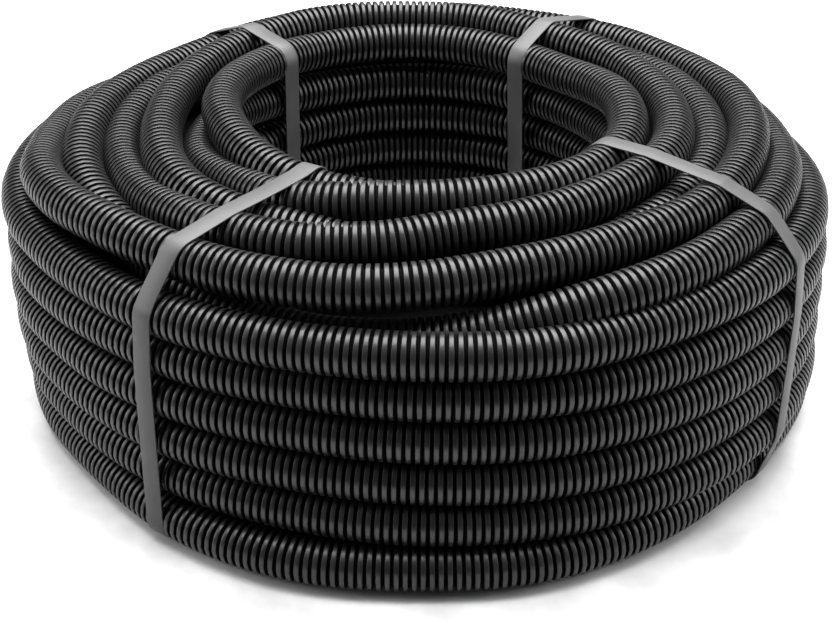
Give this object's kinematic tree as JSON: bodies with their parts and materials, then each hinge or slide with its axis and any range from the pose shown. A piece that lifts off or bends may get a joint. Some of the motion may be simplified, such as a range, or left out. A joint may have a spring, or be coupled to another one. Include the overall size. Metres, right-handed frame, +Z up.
{
  "type": "corrugated conduit coil",
  "caption": "Black corrugated plastic conduit wound in a thick upright-eyed coil and held by flat grey straps through the eye.",
  "frame": {"origin": "on the floor at the middle of the eye, level with the undersides of the straps", "axes": "+Z up along the axis the tube is wound round, +X to the right, +Y to the back as the coil lies"},
  "size_m": [0.505, 0.505, 0.1824],
  "materials": {
    "tube": "black ribbed plastic with a soft sheen",
    "strap": "grey embossed plastic strapping"
  },
  "bodies": {
    "root": {"conduit": "tube", "strap_back_right": "strap", "strap_back_left": "strap", "strap_front_left": "strap", "strap_front_right": "strap"}
  },
  "joints": []
}
